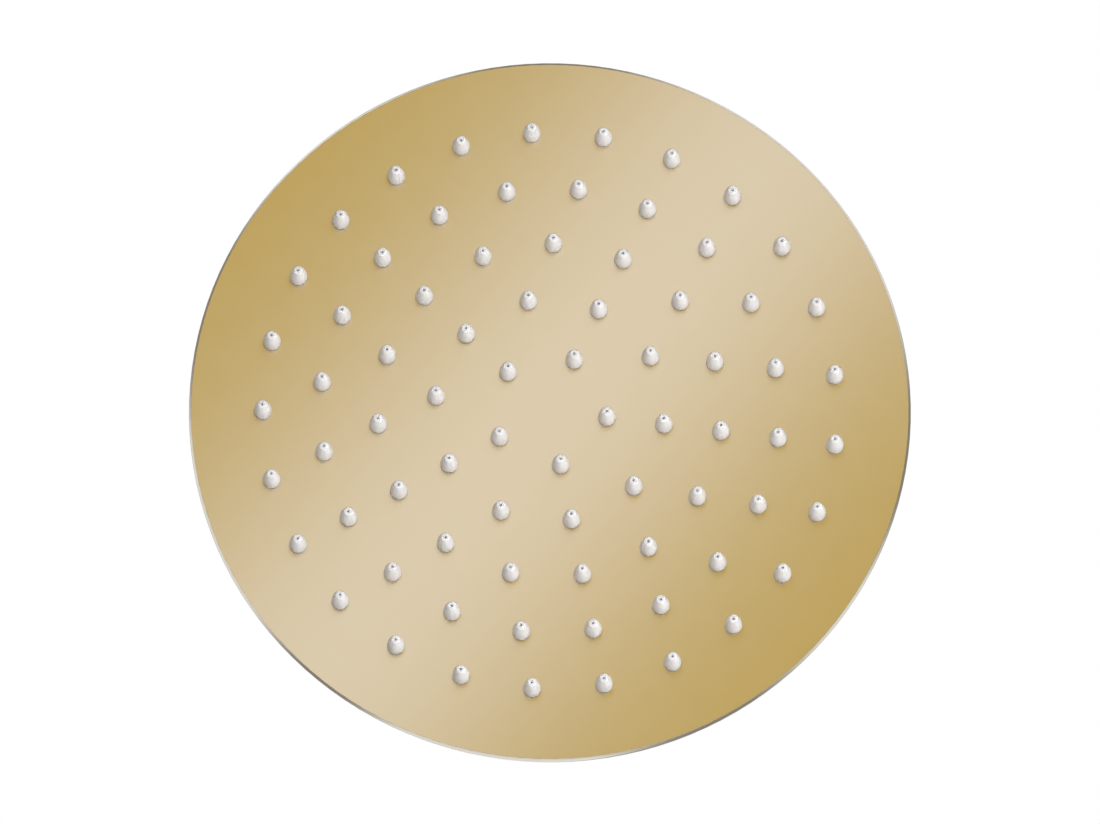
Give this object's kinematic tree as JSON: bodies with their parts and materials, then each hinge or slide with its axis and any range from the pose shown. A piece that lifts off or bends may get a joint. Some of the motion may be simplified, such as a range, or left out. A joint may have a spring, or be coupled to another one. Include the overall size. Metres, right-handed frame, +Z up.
{
  "type": "rain shower head",
  "caption": "Slim round rain shower head with rings of soft white nozzles in a flat pale gold face, a polished steel rim, and a ball joint on the back with a threaded inlet.",
  "frame": {"origin": "on the inlet's axis where its thread begins, at the foot of the lead-in chamfer of the socket", "axes": "+Z up along the inlet's axis, towards the shower arm; the spray face looks down along -Z; +X through one nozzle of every ring"},
  "size_m": [0.2, 0.2, 0.0623],
  "materials": {
    "gold_sheet": "satin-polished stainless sheet with a pale gold coating",
    "polished_rim": "bare mirror-polished stainless steel",
    "gold_fitting": "turned and polished, with the same pale gold coating as the plates",
    "bare_steel": "bare stainless steel",
    "white_silicone": "soft white silicone, moulded with a slight sheen",
    "acetal": "natural white acetal",
    "black_rubber": "matt black rubber",
    "regulator_plastic": "moulded blue plastic"
  },
  "bodies": {
    "connector": {"ball_connector": "gold_fitting", "inlet_gasket": "black_rubber", "filter_screen": "bare_steel", "flow_regulator": "regulator_plastic", "regulator_ring": "black_rubber"},
    "liner": {"friction_ring": "acetal"},
    "seal": {"ball_seal": "black_rubber"},
    "head": {"inlet_neck": "gold_fitting", "retaining_nut": "gold_fitting", "back_plate": "gold_sheet", "face_plate": "gold_sheet", "edge_ring": "polished_rim", "spacer_studs": "bare_steel", "nozzle_ring_1": "white_silicone", "nozzle_ring_2": "white_silicone", "nozzle_ring_3": "white_silicone", "nozzle_ring_4": "white_silicone", "nozzle_ring_5": "white_silicone"}
  },
  "joints": [
    {"name": "tilt_x", "type": "hinge", "parent": "connector", "child": "liner", "pos_m": [0, 0, -0.03471], "axis": [1, 0, 0], "range_deg": [-15, 15]},
    {"name": "tilt_y", "type": "hinge", "parent": "liner", "child": "seal", "pos_m": [0, 0, -0.03471], "axis": [0, 1, 0], "range_deg": [-15, 15]},
    {"name": "spin", "type": "hinge", "parent": "seal", "child": "head", "pos_m": [0, 0, -0.03471], "axis": [0, 0, 1], "continuous": true}
  ]
}
